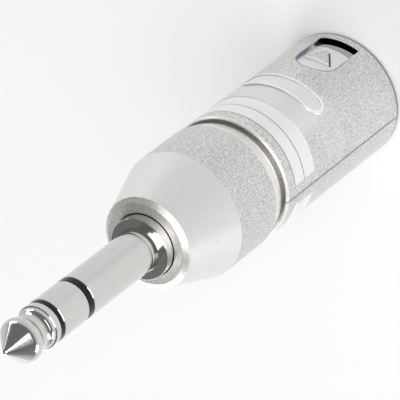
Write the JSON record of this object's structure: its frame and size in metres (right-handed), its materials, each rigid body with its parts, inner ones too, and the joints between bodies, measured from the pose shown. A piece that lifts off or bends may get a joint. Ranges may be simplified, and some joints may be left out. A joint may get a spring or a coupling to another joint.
{
  "type": "audio jack adapter",
  "caption": "Straight audio adapter: round metal socket with contact pins and a latch window at one end, polished stereo jack plug at the other.",
  "frame": {"origin": "centre of the socket's open rim, in the plane that it stands on", "axes": "+Z along the common axis from the rim to the plug's point; -Y through the middle of the latch window; X across"},
  "size_m": [0.0192, 0.0193, 0.0825],
  "materials": {
    "shell": "satin nickel plate on die-cast zinc",
    "housing": "satin nickel plate, turned",
    "plug": "polished nickel plate on brass",
    "insulator": "black, smooth",
    "insert": "black, moulded",
    "contact": "silver plate on brass",
    "washer_metal": "bright plate",
    "fibre": "plain",
    "lug": "tinned",
    "wire_red": "plain",
    "wire_white": "plain",
    "wire_black": "plain"
  },
  "bodies": {
    "root": {"xlr_shell": "shell", "jack_housing": "housing", "plug_sleeve": "plug", "plug_ring": "plug", "plug_tip": "plug", "ring_insulator": "insulator", "tip_insulator": "insulator", "xlr_insert": "insert", "contact_pin_1": "contact", "contact_pin_2": "contact", "contact_pin_3": "contact", "contact_washer": "washer_metal", "lock_washer": "washer_metal", "plug_nut": "washer_metal", "outer_rear_washer": "fibre", "inner_rear_washer": "fibre", "tip_lug": "lug", "ring_lug": "lug", "sleeve_lug": "lug", "tip_wire": "wire_red", "ring_wire": "wire_white", "sleeve_wire": "wire_black"}
  },
  "joints": []
}
